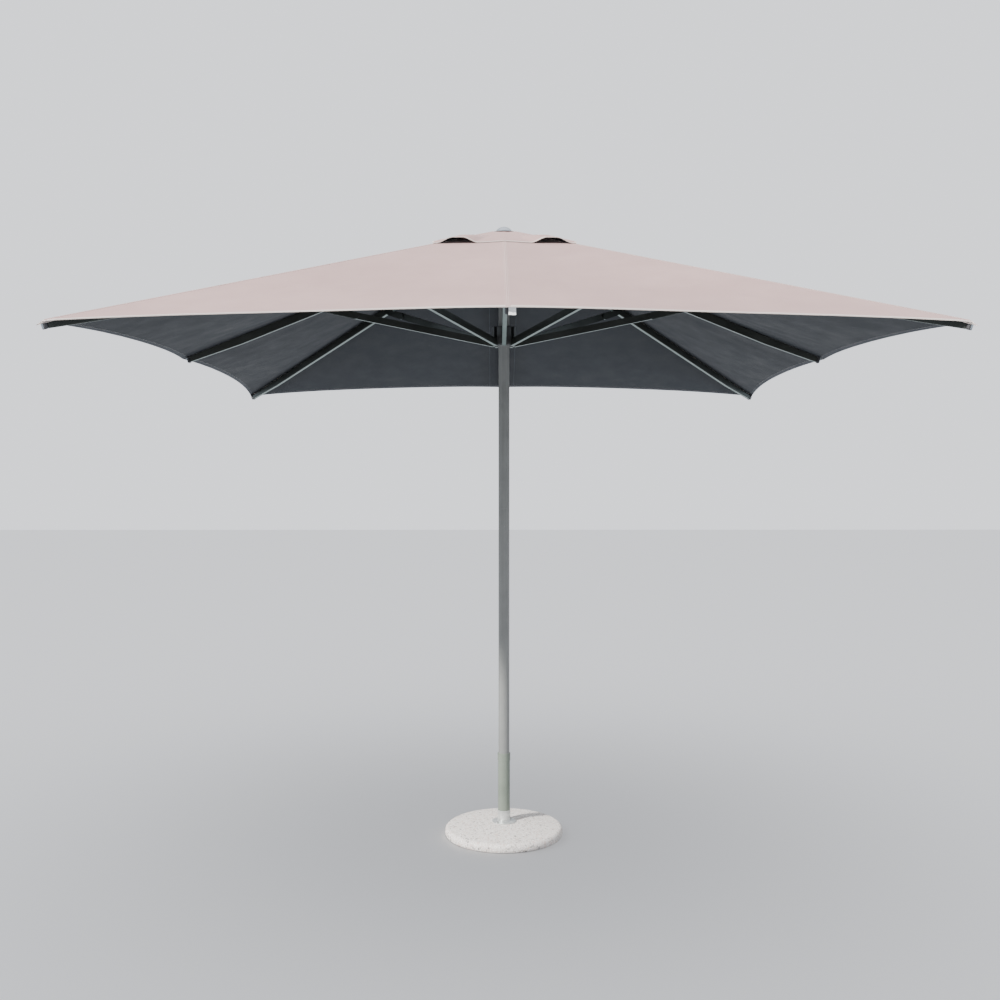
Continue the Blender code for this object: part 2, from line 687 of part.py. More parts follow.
def make_half_panel(name, kind, angle, side):
    place, own, other, spread = panel_axes(kind, angle, side)
    inner = (FINIAL_R + 0.001) / cos(SLOPES["mid"])
    outline = half_panel_outline(own, other, spread, inner, side, GAP / 2.0, SCALLOP)
    mesh = prism_mesh(name, outline, FABRIC)
    mesh.transform(Matrix.Translation((0.0, 0.0, FABRIC / 2.0)))
    panel = add_object(name, mesh, "canopy_fabric", place)
    share = CAP_HALF / HALF_SPAN
    cap_outline = half_panel_outline(own * share, other * share, spread, inner + 0.0005, side, GAP, 0.0)
    cap_low = FABRIC * 0.7
    cap = prism_mesh(f"{name}_cap", cap_outline, CAP_TOP - cap_low)
    cap.transform(Matrix.Translation((0.0, 0.0, (CAP_TOP + cap_low) / 2.0)))
    combine(panel, cap, "UNION")


def underside_z(x, distance):
    """Height of the front panels' underside, at x and at a distance from the axis towards the front."""
    fall_front = (APEX_Z - MID_TIP_Z) / MID_REACH
    fall_side = (APEX_Z - CORNER_TIP_Z) / HALF_SPAN - fall_front
    return APEX_Z - fall_front * distance - fall_side * abs(x)


def make_tag():
    """Hangs from the underside of the front hem, in front of the front rib's end."""
    distance = MID_REACH - TAG_FROM_HEM
    lowest = underside_z(TAG_X + TAG_WIDTH / 2.0, distance + TAG_THICKNESS / 2.0)
    low = (TAG_X - TAG_WIDTH / 2.0, -TAG_THICKNESS / 2.0, -TAG_HEIGHT)
    high = (TAG_X + TAG_WIDTH / 2.0, TAG_THICKNESS / 2.0, 0.0)
    add_object(
        "care_tag", boxes_mesh("care_tag", [(low, high)]), "white_tag",
        Matrix.Translation((0.0, -distance, lowest - GAP)),
    )


def make_frame_and_canopy():
    for k, kind in enumerate(RIB_KINDS):
        angle = k * pi / 4.0
        make_rib(f"rib_{k + 1}", kind, angle)
        make_strut(f"strut_{k + 1}", kind, angle)
        make_half_panel(f"canopy_{k + 1}_left", kind, angle, 1)
        make_half_panel(f"canopy_{k + 1}_right", kind, angle, -1)


clear_scene()
parts = make_collection("patio_umbrella")
tools = make_collection("cutters")
materials = {name: make_material(name) for name in COLOURS}
links = linkage()
pole_axis = bpy.data.objects.new("pole_axis", None)
parts.objects.link(pole_axis)
make_base()
make_pole(pole_axis)
make_crown(pole_axis)
make_runner()
make_frame_and_canopy()
make_tag()
bpy.context.view_layer.update()
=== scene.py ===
import bpy
import bmesh
import json
from math import acos, atan2, cos, pi, radians, sin, sqrt, tan
from mathutils import Matrix, Vector, noise

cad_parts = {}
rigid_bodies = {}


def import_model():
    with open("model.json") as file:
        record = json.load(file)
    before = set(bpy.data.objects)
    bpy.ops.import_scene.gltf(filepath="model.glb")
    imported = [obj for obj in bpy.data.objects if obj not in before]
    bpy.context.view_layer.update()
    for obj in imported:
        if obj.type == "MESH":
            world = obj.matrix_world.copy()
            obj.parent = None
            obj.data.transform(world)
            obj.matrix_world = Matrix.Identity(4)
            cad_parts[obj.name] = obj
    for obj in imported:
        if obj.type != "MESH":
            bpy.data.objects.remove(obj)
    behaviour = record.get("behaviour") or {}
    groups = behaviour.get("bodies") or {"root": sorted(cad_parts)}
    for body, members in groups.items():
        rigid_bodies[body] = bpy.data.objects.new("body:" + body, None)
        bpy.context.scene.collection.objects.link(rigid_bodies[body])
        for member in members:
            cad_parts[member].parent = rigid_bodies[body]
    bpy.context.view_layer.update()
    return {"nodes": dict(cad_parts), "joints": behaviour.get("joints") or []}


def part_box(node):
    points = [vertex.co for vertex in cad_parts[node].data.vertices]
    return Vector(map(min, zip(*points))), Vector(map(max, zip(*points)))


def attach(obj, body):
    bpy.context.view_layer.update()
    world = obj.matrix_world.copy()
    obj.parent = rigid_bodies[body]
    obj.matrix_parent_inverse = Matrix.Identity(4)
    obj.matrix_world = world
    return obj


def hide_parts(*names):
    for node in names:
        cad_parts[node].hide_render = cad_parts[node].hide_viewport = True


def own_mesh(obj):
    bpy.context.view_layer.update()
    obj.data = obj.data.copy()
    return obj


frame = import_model()
joints = {joint["name"]: joint for joint in frame["joints"]}
nodes = frame["nodes"]
print("frame loaded,", len(nodes), "nodes")

pieceGroup = bpy.data.collections.new("umbrellaPieces")
bpy.context.scene.collection.children.link(pieceGroup)


# helpers for meshes

def newPiece(name, verts, faces, uvs=None, smooth=True):
    mesh = bpy.data.meshes.new(name)
    mesh.from_pydata([tuple(v) for v in verts], [], faces)
    if uvs:
        layer = mesh.uv_layers.new(name="cloth")
        for loop in mesh.loops:
            layer.data[loop.index].uv = uvs[loop.vertex_index]
    for face in mesh.polygons:
        face.use_smooth = smooth
    mesh.update()
    piece = bpy.data.objects.new(name, mesh)
    pieceGroup.objects.link(piece)
    return piece


def gridFaces(rows, cols, flip=False):
    faces = []
    for r in range(rows - 1):
        for c in range(cols - 1):
            a = r * cols + c
            quad = (a, a + 1, a + cols + 1, a + cols)
            faces.append(quad[::-1] if flip else quad)
    return faces


def turnedPiece(name, profile, steps):
    verts, faces = [], []
    count = len(profile)
    for s in range(steps):
        turn = 2 * pi * s / steps
        for r, z in profile:
            verts.append((r * cos(turn), r * sin(turn), z))
    for s in range(steps):
        for i in range(count - 1):
            a, b = s * count + i, ((s + 1) % steps) * count + i
            faces.append((a, a + 1, b + 1, b))
    piece = newPiece(name, verts, faces)
    work = bmesh.new()
    work.from_mesh(piece.data)
    bmesh.ops.remove_doubles(work, verts=work.verts, dist=0.00001)
    bmesh.ops.recalc_face_normals(work, faces=work.faces)
    work.to_mesh(piece.data)
    work.free()
    return piece


def applyModifiers(piece):
    bpy.context.view_layer.update()
    shape = piece.evaluated_get(bpy.context.evaluated_depsgraph_get())
    mesh = bpy.data.meshes.new_from_object(shape)
    old = piece.data
    piece.modifiers.clear()
    piece.data = mesh
    bpy.data.meshes.remove(old)


def thicken(piece, thickness, offset=0.0, rim=None, under=None):
    solid = piece.modifiers.new("thickness", "SOLIDIFY")
    solid.thickness = thickness
    solid.offset = offset
    solid.use_even_offset = True
    if under is not None:
        solid.material_offset = under
    if rim is not None:
        solid.material_offset_rim = rim
    applyModifiers(piece)
    piece.data.set_sharp_from_angle(angle=radians(50))


# helpers for materials

def startMaterial(name, colour, roughness, metallic=0.0, **extra):
    material = bpy.data.materials.new(name)
    material.use_nodes = True
    tree = material.node_tree
    shader = tree.nodes["Principled BSDF"]
    shader.inputs["Base Color"].default_value = (*colour, 1)
    shader.inputs["Roughness"].default_value = roughness
    shader.inputs["Metallic"].default_value = metallic
    for socket, value in extra.items():
        shader.inputs[socket.replace("_", " ")].default_value = value
    material.diffuse_color = (*colour, 1)
    return material, tree, shader


def addNode(tree, kind, inputs=None, **settings):
    node = tree.nodes.new(kind)
    for key, value in settings.items():
        setattr(node, key, value)
    for key, value in (inputs or {}).items():
        if isinstance(value, bpy.types.NodeSocket):
            tree.links.new(value, node.inputs[key])
        else:
            node.inputs[key].default_value = value
    return node


def ramp(tree, source, stops):
    node = addNode(tree, "ShaderNodeValToRGB", {0: source})
    marks = node.color_ramp.elements
    while len(marks) < len(stops):
        marks.new(0.5)
    for mark, (place, colour) in zip(marks, stops):
        mark.position = place
        mark.color = (*colour, 1) if hasattr(colour, "__len__") else (colour, colour, colour, 1)
    return node.outputs["Color"]


def mixColours(tree, factor, first, second, way="MIX"):
    node = addNode(tree, "ShaderNodeMix", data_type="RGBA", blend_type=way)
    for key, value in ((0, factor), (6, first), (7, second)):
        if isinstance(value, bpy.types.NodeSocket):
            tree.links.new(value, node.inputs[key])
        else:
            node.inputs[key].default_value = value if key == 0 else (*value, 1)
    return node.outputs[2]


def mathNode(tree, operation, *values):
    node = addNode(tree, "ShaderNodeMath", operation=operation)
    for index, value in enumerate(values):
        if isinstance(value, bpy.types.NodeSocket):
            tree.links.new(value, node.inputs[index])
        else:
            node.inputs[index].default_value = value
    return node.outputs[0]


def noiseNode(tree, coords, scale, detail=3.0, rough=0.5):
    return addNode(
        tree, "ShaderNodeTexNoise", {"Vector": coords, "Scale": scale, "Detail": detail, "Roughness": rough}
    ).outputs["Fac"]


def bumpInto(tree, shader, height, distance, strength=1.0, after=None):
    node = addNode(tree, "ShaderNodeBump", {"Height": height, "Distance": distance, "Strength": strength})
    if after:
        tree.links.new(after, node.inputs["Normal"])
    tree.links.new(node.outputs["Normal"], shader.inputs["Normal"])
    return node.outputs["Normal"]


def shade(colour, factor):
    return tuple(min(1.0, c * factor) for c in colour)


# cloth of the canopy: plain weave, sun-faded colour; the back is painted shade, dark and bluish, with a
# smoother coated finish
clothLook = {
    "outerColour": (0.420, 0.281, 0.268),
    # painted shade: the back's dark bluish colour stands in for the shadow under the canopy
    "paintedShadeInnerColour": (0.021, 0.0245, 0.029),
    "hemColour": (0.56, 0.50, 0.47),
    "threadPitch": 0.0011,   # metres between two yarns
    "weaveDepth": 0.00022,
    "fade": 0.07,
    "stitchPitch": 0.0045,
    "threadColour": (0.62, 0.56, 0.53),
}


def clothMaterial(name, colour, fade, stitches=None, coated=False):
    look = clothLook
    material, tree, shader = startMaterial(
        name, colour, 0.88, Sheen_Weight=0.0 if coated else 0.18, Sheen_Roughness=0.5, Specular_IOR_Level=0.25
    )
    uv = addNode(tree, "ShaderNodeUVMap", uv_map="cloth").outputs["UV"]
    parts = addNode(tree, "ShaderNodeSeparateXYZ", {0: uv})
    along, across = parts.outputs["X"], parts.outputs["Y"]
    turns = 2 * pi / look["threadPitch"]
    warp = mathNode(tree, "SINE", mathNode(tree, "MULTIPLY", along, turns))
    weft = mathNode(tree, "SINE", mathNode(tree, "MULTIPLY", across, turns))
    weave = mathNode(tree, "MULTIPLY", warp, weft)
    weave = mathNode(tree, "MULTIPLY_ADD", weave, 0.5, 0.5)
    place = addNode(tree, "ShaderNodeTexCoord").outputs["Object"]
    broad = noiseNode(tree, place, 1.6, 4.0)
    blotch = noiseNode(tree, place, 9.0, 5.0, 0.6)
    stretched = addNode(tree, "ShaderNodeMapping", {"Vector": uv, "Scale": (60.0, 900.0, 1.0)}).outputs[0]
    slub = noiseNode(tree, stretched, 1.0, 2.0)
    tone = ramp(tree, broad, [(0.3, shade(colour, 1 - fade)), (0.7, shade(colour, 1 + fade))])
    tone = mixColours(tree, 0.16, tone, ramp(tree, blotch, [(0.35, 0.35), (0.65, 0.65)]), "SOFT_LIGHT")
    tone = mixColours(tree, 0.20, tone, ramp(tree, slub, [(0.3, 0.38), (0.7, 0.62)]), "SOFT_LIGHT")
    tone = mixColours(tree, 0.14, tone, ramp(tree, weave, [(0.0, 0.30), (1.0, 0.62)]), "SOFT_LIGHT")
    height = weave
    if stitches:
        # rows of lockstitch at the given distances across the band
        dash = mathNode(tree, "SINE", mathNode(tree, "MULTIPLY", along, 2 * pi / look["stitchPitch"]))
        dash = mathNode(tree, "GREATER_THAN", dash, -0.55)
        mask = None
        for row in stitches:
            gap = mathNode(tree, "ABSOLUTE", mathNode(tree, "SUBTRACT", across, row))
            line = mathNode(tree, "LESS_THAN", gap, 0.0006)
            mask = line if mask is None else mathNode(tree, "MAXIMUM", mask, line)
        mask = mathNode(tree, "MULTIPLY", mask, dash)
        tone = mixColours(tree, mask, tone, look["threadColour"] if not coated else shade(colour, 2.2))
        height = mathNode(tree, "MULTIPLY_ADD", mask, 2.2, weave)
    tree.links.new(tone, shader.inputs["Base Color"])
    rough = ramp(tree, blotch, [(0.3, 0.80), (0.7, 0.94)])
    if coated:
        rough = ramp(tree, blotch, [(0.3, 0.58), (0.7, 0.74)])
    tree.links.new(rough, shader.inputs["Roughness"])
    waves = noiseNode(tree, place, 5.0, 3.0)
    first = bumpInto(tree, shader, waves, 0.006, 0.35)
    bumpInto(tree, shader, height, look["weaveDepth"], 0.6, first)
    return material


# painted and plated metal, plastic

# below: a paler tone for faces that look at the ground, a painted reflection
def paintMaterial(name, colour, roughness, metallic, grain=0.00012, wear=0.5, streak=None, below=None):
    material, tree, shader = startMaterial(name, colour, roughness, metallic, Specular_IOR_Level=0.5)
    place = addNode(tree, "ShaderNodeTexCoord").outputs["Object"]
    peel = noiseNode(tree, place, 900.0, 2.0)
    patch = noiseNode(tree, place, 7.0, 5.0, 0.6)
    speck = noiseNode(tree, place, 160.0, 2.0, 0.4)
    tone = ramp(tree, patch, [(0.3, shade(colour, 0.88)), (0.7, shade(colour, 1.12))])
    chip = ramp(tree, speck, [(0.70, 0.0), (0.74, wear)])
    tone = mixColours(tree, chip, tone, shade(colour, 2.0))
    if below:
        # faces that look at the ground are given a paler tone: a painted reflection of the lit ground
        normal = addNode(tree, "ShaderNodeTexCoord").outputs["Normal"]
        facing = addNode(tree, "ShaderNodeSeparateXYZ", {0: normal}).outputs["Z"]
        paintedReflectionMask = ramp(tree, mathNode(tree, "MULTIPLY", facing, -1.0), [(0.80, 0.0), (0.90, 1.0)])
        tone = mixColours(tree, paintedReflectionMask, tone, below)
    if streak:
        stretched = addNode(tree, "ShaderNodeMapping", {"Vector": place, "Scale": streak}).outputs[0]
        lines = noiseNode(tree, stretched, 1.0, 4.0, 0.65)
        tone = mixColours(tree, 0.22, tone, ramp(tree, lines, [(0.3, 0.25), (0.7, 0.75)]), "SOFT_LIGHT")
    tree.links.new(tone, shader.inputs["Base Color"])
    tree.links.new(
        ramp(tree, patch, [(0.3, roughness - 0.06), (0.7, roughness + 0.10)]), shader.inputs["Roughness"]
    )
    bumpInto(tree, shader, peel, grain, 0.5)
    return material


def galvanisedMaterial(name):
    material, tree, shader = startMaterial(name, (0.62, 0.64, 0.63), 0.42, 0.75)
    place = addNode(tree, "ShaderNodeTexCoord").outputs["Object"]
    spangle = addNode(tree, "ShaderNodeTexVoronoi", {"Vector": place, "Scale": 90.0})
    cloud = noiseNode(tree, place, 24.0, 4.0)
    grey = addNode(tree, "ShaderNodeSeparateColor", {0: spangle.outputs["Color"]}).outputs[0]
    tone = ramp(tree, grey, [(0.0, (0.52, 0.55, 0.54)), (1.0, (0.72, 0.74, 0.73))])
    tone = mixColours(tree, ramp(tree, cloud, [(0.45, 0.0), (0.7, 0.6)]), tone, (0.80, 0.81, 0.79))
    tree.links.new(tone, shader.inputs["Base Color"])
    tree.links.new(ramp(tree, grey, [(0.0, 0.34), (1.0, 0.52)]), shader.inputs["Roughness"])
    bumpInto(tree, shader, grey, 0.00008, 0.5)
    return material


def chromeMaterial(name):
    material, tree, shader = startMaterial(name, (0.56, 0.59, 0.63), 0.08, 1.0)
    place = addNode(tree, "ShaderNodeTexCoord").outputs["Object"]
    smear = noiseNode(tree, place, 60.0, 4.0, 0.6)
    tree.links.new(ramp(tree, smear, [(0.35, 0.05), (0.75, 0.18)]), shader.inputs["Roughness"])
    tree.links.new(
        ramp(tree, smear, [(0.3, (0.60, 0.63, 0.67)), (0.8, (0.46, 0.49, 0.53))]), shader.inputs["Base Color"]
    )
    return material


def plasticMaterial(name, colour, roughness=0.5):
    material, tree, shader = startMaterial(name, colour, roughness, 0.0)
    place = addNode(tree, "ShaderNodeTexCoord").outputs["Object"]
    grain = noiseNode(tree, place, 1400.0, 2.0)
    dust = noiseNode(tree, place, 30.0, 5.0, 0.6)
    tree.links.new(
        ramp(tree, dust, [(0.4, colour), (0.8, shade(colour, 1.9))]), shader.inputs["Base Color"]
    )
    rough = ramp(tree, dust, [(0.3, roughness - 0.08), (0.7, roughness + 0.14)])
    tree.links.new(rough, shader.inputs["Roughness"])
    bumpInto(tree, shader, grain, 0.00008, 0.5)
    return material


# washed concrete with small pebbles showing
stoneLook = {
    "cement": (0.66, 0.62, 0.585),
    "pebbleSize": 0.0075,
    "pebbleHeight": 0.0011,
    "pebbles": [(0.00, (0.83, 0.79, 0.75)), (0.30, (0.90, 0.87, 0.84)), (0.50, (0.72, 0.60, 0.55)),
                (0.62, (0.86, 0.83, 0.80)), (0.80, (0.42, 0.40, 0.39)), (0.88, (0.93, 0.91, 0.89)),
                (0.97, (0.20, 0.19, 0.19))],
}


def stoneMaterial(name):
    look = stoneLook
    material, tree, shader = startMaterial(name, look["cement"], 0.85, 0.0, Specular_IOR_Level=0.35)
    place = addNode(tree, "ShaderNodeTexCoord").outputs["Object"]
    warped = addNode(tree, "ShaderNodeMix", {0: 0.012}, data_type="VECTOR")
    ripple = addNode(tree, "ShaderNodeTexNoise", {"Vector": place, "Scale": 90.0}).outputs["Color"]
    tree.links.new(place, warped.inputs[4])
    tree.links.new(ripple, warped.inputs[5])
    packing = {"Vector": warped.outputs[1], "Scale": 1 / look["pebbleSize"]}
    cells = addNode(tree, "ShaderNodeTexVoronoi", packing)
    edge = addNode(tree, "ShaderNodeTexVoronoi", packing, feature="DISTANCE_TO_EDGE").outputs["Distance"]
    pick = addNode(tree, "ShaderNodeSeparateColor", {0: cells.outputs["Color"]}).outputs[0]
    stones = ramp(tree, pick, look["pebbles"])
    # each pebble keeps one flat colour of its own
    stones.node.color_ramp.interpolation = "CONSTANT"
    sand = noiseNode(tree, place, 700.0, 3.0, 0.7)
    cement = ramp(tree, sand, [(0.3, shade(look["cement"], 0.82)), (0.7, shade(look["cement"], 1.15))])
    shown = ramp(tree, edge, [(0.05, 0.0), (0.14, 1.0)])
    tone = mixColours(tree, shown, cement, stones)
    stain = noiseNode(tree, place, 6.0, 5.0, 0.6)
    tone = mixColours(tree, 0.35, tone, ramp(tree, stain, [(0.3, 0.40), (0.7, 0.58)]), "SOFT_LIGHT")
    tree.links.new(tone, shader.inputs["Base Color"])
    tree.links.new(ramp(tree, shown, [(0.0, 0.92), (1.0, 0.62)]), shader.inputs["Roughness"])
    dome = ramp(tree, edge, [(0.0, 0.0), (0.25, 0.8), (0.6, 1.0)])
    first = bumpInto(tree, shader, dome, look["pebbleHeight"], 0.8)
    bumpInto(tree, shader, sand, 0.00025, 0.5, first)
    return material


looks = {
    "outerCloth": clothMaterial("outerCloth", clothLook["outerColour"], clothLook["fade"]),
    # the back of the cloth, in its dark painted shade
    "paintedShadeInnerCloth": clothMaterial("paintedShadeInnerCloth", clothLook["paintedShadeInnerColour"], 0.05, coated=True),
    "seamCloth": clothMaterial("seamCloth", clothLook["outerColour"], clothLook["fade"], (0.0030, 0.0090)),
    "hemCloth": clothMaterial("hemCloth", clothLook["hemColour"], 0.04, (0.004, 0.018)),
    # seams on the back: a paler copy of the painted shade
    "innerSeam": clothMaterial("innerSeam", shade(clothLook["paintedShadeInnerColour"], 1.7), 0.05, (0.0,), coated=True),
    # the frame's downward faces carry a paler painted reflection of the ground
    "framePaint": paintMaterial(
        "framePaint", (0.026, 0.029, 0.025), 0.38, 0.35, streak=(6.0, 6.0, 6.0), below=(0.20, 0.25, 0.235)
    ),
    "hubPaint": paintMaterial("hubPaint", (0.026, 0.028, 0.024), 0.40, 0.25, streak=(9.0, 9.0, 9.0)),
    "polePaint": paintMaterial(
        "polePaint", (0.245, 0.252, 0.245), 0.40, 0.25, wear=0.15, streak=(90.0, 90.0, 1.2)
    ),
    "tubePaint": paintMaterial(
        "tubePaint", (0.195, 0.228, 0.190), 0.42, 0.15, grain=0.0002, wear=0.35, streak=(60.0, 60.0, 3.0)
    ),
    "galvanised": galvanisedMaterial("galvanised"),
    "zinc": paintMaterial("zinc", (0.55, 0.55, 0.53), 0.32, 0.9, wear=0.1),
    "chrome": chromeMaterial("chrome"),
    "blackPlastic": plasticMaterial("blackPlastic", (0.022, 0.022, 0.024), 0.46),
    "runnerPlastic": plasticMaterial("runnerPlastic", (0.030, 0.031, 0.030), 0.42),
    "concrete": stoneMaterial("concrete"),
    "tagCloth": clothMaterial("tagCloth", (0.86, 0.87, 0.87), 0.02),
}
print("materials made")


# canopy geometry, read from the frame
def tipOf(joint, reach):
    axis = Vector(joint["axis"])
    return apex + axis * (reach / sqrt(axis.x**2 + axis.y**2))


midJoint = joints["canopy_1_left_fold"]
cornerJoint = joints["canopy_2_left_fold"]
midAxis, cornerAxis = Vector(midJoint["axis"]), Vector(cornerJoint["axis"])
midStart = Vector(midJoint["pos_m"])
apex = midStart - midAxis * (midStart.x / midAxis.x)
# the half panels' solids reach this far past the ends of the seams
midOver, cornerOver = 0.0009, 0.0008
midTip = tipOf(midJoint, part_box("canopy_1_left")[1].x - midOver)
cornerTip = tipOf(cornerJoint, (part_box("canopy_2_left")[1].y - cornerOver) * sqrt(2))
spread = acos(midAxis.dot(cornerAxis))
halfSpread = spread / 2

canopy = {
    "rows": 44,
    "columns": 16,
    "gather": 1.6,           # rows lie closer together towards the hem
    "scallop": 0.052,
    "clothThickness": 0.0014,
    "lift": 0.0012,          # cloth's middle above the seam line that the ribs carry
    "sag": 0.030,            # share of a panel's width that it dips between ribs, halfway out
    "hemSag": 0.05,          # how much of that dip the taut hem keeps
    "tipCurl": 0.013,        # how far the cloth beyond a rib's end turns down
    "tipLength": 0.030,
    "tipHalfWidth": (0.010, 0.055),    # the turned tip fades out sideways between these
    "pull": 0.0016,          # height of the tension creases near the tips
    "creases": 9,            # half waves across a half panel
    "folded": 0.45,          # share of a half panel's width left when the frame is closed
    "innerEdge": 0.0705,
    "seamWidth": 0.009,
    "hemWidth": 0.022,
    "seamStart": 0.004,      # how far the seam tape stays back from each end of its rib's seam
    "hemOver": 0.0012,       # how far the hem tape reaches past the cloth's edge
    "tapeThickness": 0.0005,
    "tapeGap": 0.0001,
    "tapeRows": 40,
    "hemRows": 30,
    "underSeamFrom": 0.070,  # a second seam under the front and far panels, this far from the rib
    "underSeamWidth": 0.0032,
    "underSeamThickness": 0.0007,
}


def smoothStep(low, high, value):
    t = max(0.0, min(1.0, (value - low) / (high - low)))
    return t * t * (3 - 2 * t)


def panelFrame(kind, angle, side):
    turn = Matrix.Rotation(angle, 3, "Z")
    own = {"mid": midTip, "corner": cornerTip}[kind]
    # the other rib of the same panel, an eighth of a turn away on this side
    otherTip = {"mid": cornerTip, "corner": midTip}[kind]
    ownAngle = atan2(own.y, own.x)
    otherAngle = atan2(otherTip.y, otherTip.x)
    ownLocal = Matrix.Rotation(-ownAngle, 3, "Z") @ (own - apex)
    otherLocal = Matrix.Rotation(side * pi / 4 - otherAngle, 3, "Z") @ (otherTip - apex)
    along = turn @ ownLocal.normalized()
    other = turn @ otherLocal.normalized()
    normal = along.cross(other).normalized() * side
    return {
        "kind": kind, "along": along, "across": normal.cross(along) * side, "normal": normal,
        "own": ownLocal.length, "other": otherLocal.length, "side": side,
    }


def hemRays(panel, columns, scallop):
    near = Vector((panel["own"], 0.0))
    far = Vector((cos(spread), sin(spread))) * panel["other"]
    chord = far - near
    inward = Vector((-chord.y, chord.x)).normalized()

    def hemPoint(t):
        return near + chord * t + inward * (4 * scallop * t * (1 - t))

    low, high = 0.0, 1.0
    for _ in range(40):
        t = (low + high) / 2
        point = hemPoint(t)
        if atan2(point.y, point.x) < halfSpread:
            low = t
        else:
            high = t
    rays = []
    for c in range(columns):
        point = hemPoint(low * c / (columns - 1))
        rays.append((atan2(point.y, point.x), point.length))
    return rays


def hemDistance(panel, angle):
    # from the apex to the straight line between the two rib tips
    a, b = panel["own"], panel["other"]
    return a * b * sin(spread) / (b * sin(spread - angle) + a * sin(angle))


def clothHeight(panel, angle, distance):
    share = min(1.0, max(0.0, angle / halfSpread))
    width = 2 * distance * tan(halfSpread)
    dip = canopy["sag"] * width * sin(pi / 2 * share)
    outward = min(1.0, distance / hemDistance(panel, angle))
    dip *= canopy["hemSag"] + (1 - canopy["hemSag"]) * sin(pi * outward ** 1.3)
    # creases run in from the tips, and die out at the seam and at the panel's middle
    fade = smoothStep(0.45, 0.80, outward) * (1 - smoothStep(0.86, 1.0, outward)) * sin(pi * share) ** 2
    crease = canopy["pull"] * fade * sin(canopy["creases"] * pi * share + 3.0 * outward)
    fromTip = panel["own"] - distance * cos(angle)
    curl = 1 - smoothStep(0.0, canopy["tipLength"], fromTip) if panel["kind"] == "corner" else 0.0
    curl *= 1 - smoothStep(*canopy["tipHalfWidth"], abs(distance * sin(angle)))
    return canopy["lift"] - dip + crease - canopy["tipCurl"] * curl


def clothPoint(panel, angle, distance, extra=0.0):
    flat = panel["along"] * (distance * cos(angle)) + panel["across"] * (distance * sin(angle))
    return apex + flat + panel["normal"] * (clothHeight(panel, angle, distance) + extra)


def clothUv(angle, distance):
    return (distance * cos(angle), distance * sin(angle))


def outerUp(piece, panel):
    normals = sum((face.normal * face.area for face in piece.data.polygons), Vector())
    if normals.dot(panel["normal"]) < 0:
        piece.data.flip_normals()


def foldWith(piece, node):
    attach(piece, node)
    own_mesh(piece)


def makeMainSheet(tag, panel):
    rays = hemRays(panel, canopy["columns"], canopy["scallop"])
    inner = canopy["innerEdge"] / cos(atan2(-midAxis.z, midAxis.x))
    verts, uvs = [], []
    for r in range(canopy["rows"]):
        part = 1 - (1 - r / (canopy["rows"] - 1)) ** canopy["gather"]
        for angle, length in rays:
            distance = inner + (length - inner) * part
            verts.append(clothPoint(panel, angle, distance))
            uvs.append(clothUv(angle, distance))
    sheet = newPiece(f"panel{tag}", verts, gridFaces(canopy["rows"], len(rays)), uvs)
    outerUp(sheet, panel)
    sheet.data.materials.append(looks["outerCloth"])
    sheet.data.materials.append(looks["paintedShadeInnerCloth"])
    sheet.data.materials.append(looks["hemCloth"])
    thicken(sheet, canopy["clothThickness"], 0.0, rim=2, under=1)
    return sheet, rays, inner


def stripPiece(name, panel, spots, thickness, lift, material, under=None):
    verts, uvs = [], []
    width = len(spots[0])
    for row in spots:
        for angle, distance, u, v in row:
            verts.append(clothPoint(panel, angle, distance, lift))
            uvs.append((u, v))
    strip = newPiece(name, verts, gridFaces(len(spots), width), uvs)
    outerUp(strip, panel)
    strip.data.materials.append(looks[material])
    strip.data.materials.append(looks[under or material])
    thicken(strip, thickness, 0.0, rim=0, under=1)
    return strip


def makeSeamBand(tag, panel, inner):
    steps = canopy["tapeRows"]
    spots = []
    first, last = inner + canopy["seamStart"], panel["own"] - canopy["seamStart"]
    for i in range(steps):
        distance = first + (last - first) * i / (steps - 1)
        row = []
        for k in range(4):
            v = canopy["seamWidth"] * k / 3
            row.append((atan2(v, distance), sqrt(distance**2 + v**2), distance, v))
        spots.append(row)
    lift = canopy["clothThickness"] / 2 + canopy["tapeThickness"] / 2 + canopy["tapeGap"]
    return stripPiece(f"seamTape{tag}", panel, spots, canopy["tapeThickness"], lift, "seamCloth")


def makeHemBand(tag, panel):
    fine = hemRays(panel, canopy["hemRows"], canopy["scallop"])
    spots, run = [], 0.0
    for i, (angle, length) in enumerate(fine):
        if i:
            before = fine[i - 1]
            run += sqrt(before[1]**2 + length**2 - 2 * before[1] * length * cos(angle - before[0]))
        row = []
        for k in range(4):
            back = canopy["hemWidth"] * k / 3
            row.append((angle, length + canopy["hemOver"] - back, run, back))
        spots.append(row)
    thick = canopy["clothThickness"] + 2 * canopy["tapeThickness"]
    return stripPiece(f"hemTape{tag}", panel, spots, thick, 0.0, "hemCloth", "innerSeam")


# vent cap: lies on the canopy at the ribs and bows up between them
ventCap = {
    "halfSide": 0.300,
    "rise": 0.025,
    "restHeight": 0.0036,
    "rows": 14,
    "columns": 12,
    "openFrom": 0.44,    # share of a half side where the bow starts, from the mid rib
    "openTo": 0.90,
    "bowFrom": 0.42,     # share of the way out from the apex where the bow starts
    "bowTo": 0.90,
    "hem": 0.010,
    "hemThickness": 0.0012,
}


def capHeight(panel, angle, distance, edge):
    # place along the cap's side, 0 at the mid rib and 1 at the corner
    turn = angle if panel["kind"] == "mid" else spread - angle
    place = tan(turn) / tan(spread)
    inside = smoothStep(ventCap["openFrom"] - 0.06, ventCap["openFrom"] + 0.16, place)
    inside *= 1 - smoothStep(ventCap["openTo"] - 0.16, ventCap["openTo"] + 0.06, place)
    out = smoothStep(ventCap["bowFrom"], ventCap["bowTo"], distance / edge)
    return ventCap["restHeight"] + ventCap["rise"] * inside * out


